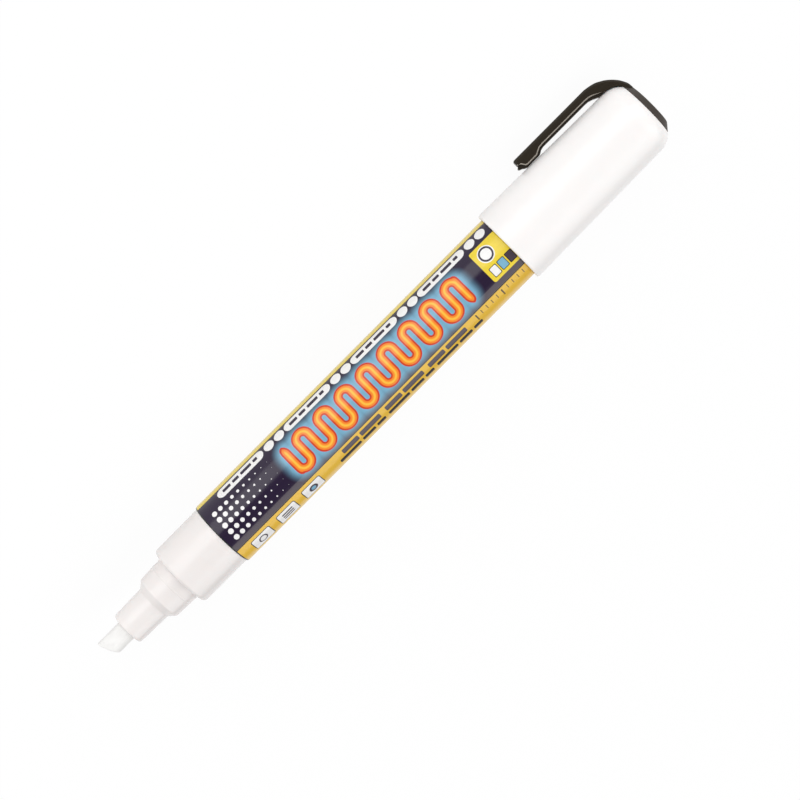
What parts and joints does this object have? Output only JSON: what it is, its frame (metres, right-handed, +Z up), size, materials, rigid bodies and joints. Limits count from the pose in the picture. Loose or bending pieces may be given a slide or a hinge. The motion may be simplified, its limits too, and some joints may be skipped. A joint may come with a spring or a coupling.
{
  "type": "liquid chalk marker",
  "caption": "Valve-action chisel-nib chalk marker with a stepped nose, film label, posted clip cap, coil-sprung valve and mixing ball inside.",
  "frame": {"origin": "centre of the lying marker's footprint, on the table", "axes": "+X along the marker towards the nib, +Z up, clip on the -Y side with its corner on the table"},
  "size_m": [0.161, 0.0192, 0.0178],
  "materials": {
    "white_gloss": "bright white moulded polypropylene, semi-gloss",
    "white_satin": "off-white moulded polypropylene, satin",
    "label_film": "printed film sleeve, navy and yellow, gloss",
    "natural_plastic": "natural unpigmented plastic",
    "clip_black": "black moulded plastic, satin",
    "nib_fibre": "white bonded fibre",
    "soft_seal": "soft elastomer",
    "steel": "stainless steel"
  },
  "bodies": {
    "barrel": {"barrel_tube": "white_satin", "barrel_label": "label_film", "tail_plug": "white_satin", "nose_section": "white_satin", "valve_seat": "soft_seal", "valve_case": "natural_plastic", "valve_spring": "steel"},
    "nib": {"nib": "nib_fibre"},
    "valve_stem": {"valve_stem": "natural_plastic"},
    "mixing_ball": {"mixing_ball": "steel"},
    "cap": {"cap_shell": "white_gloss", "cap_liner": "natural_plastic", "clip_crown": "clip_black"},
    "clip_arm": {"clip_arm": "clip_black"}
  },
  "joints": [
    {"name": "nib_push", "type": "slide", "parent": "barrel", "child": "nib", "axis": [-1, 0, 0], "range_m": [0, 0.0025], "stiffness_N_per_m": 800, "springref_m": -0.0025},
    {"name": "valve_open", "type": "slide", "parent": "barrel", "child": "valve_stem", "axis": [-1, 0, 0], "range_m": [0, 0.0025], "deforming": ["valve_spring"]},
    {"name": "ball_roll", "type": "slide", "parent": "barrel", "child": "mixing_ball", "axis": [-1, 0, 0], "range_m": [0, 0.0695]},
    {"name": "cap_pull", "type": "slide", "parent": "barrel", "child": "cap", "axis": [-1, 0, 0], "range_m": [0, 0.03]},
    {"name": "clip_flex", "type": "hinge", "parent": "cap", "child": "clip_arm", "pos_m": [-0.07212, -0.00845, 0.00153], "axis": [0, 0.6253, -0.7804], "range_deg": [0, 5], "stiffness_Nm_per_rad": 0.8}
  ],
  "couplings": [
    {"joint": "valve_open", "follows": "nib_push", "ratio": 1}
  ]
}
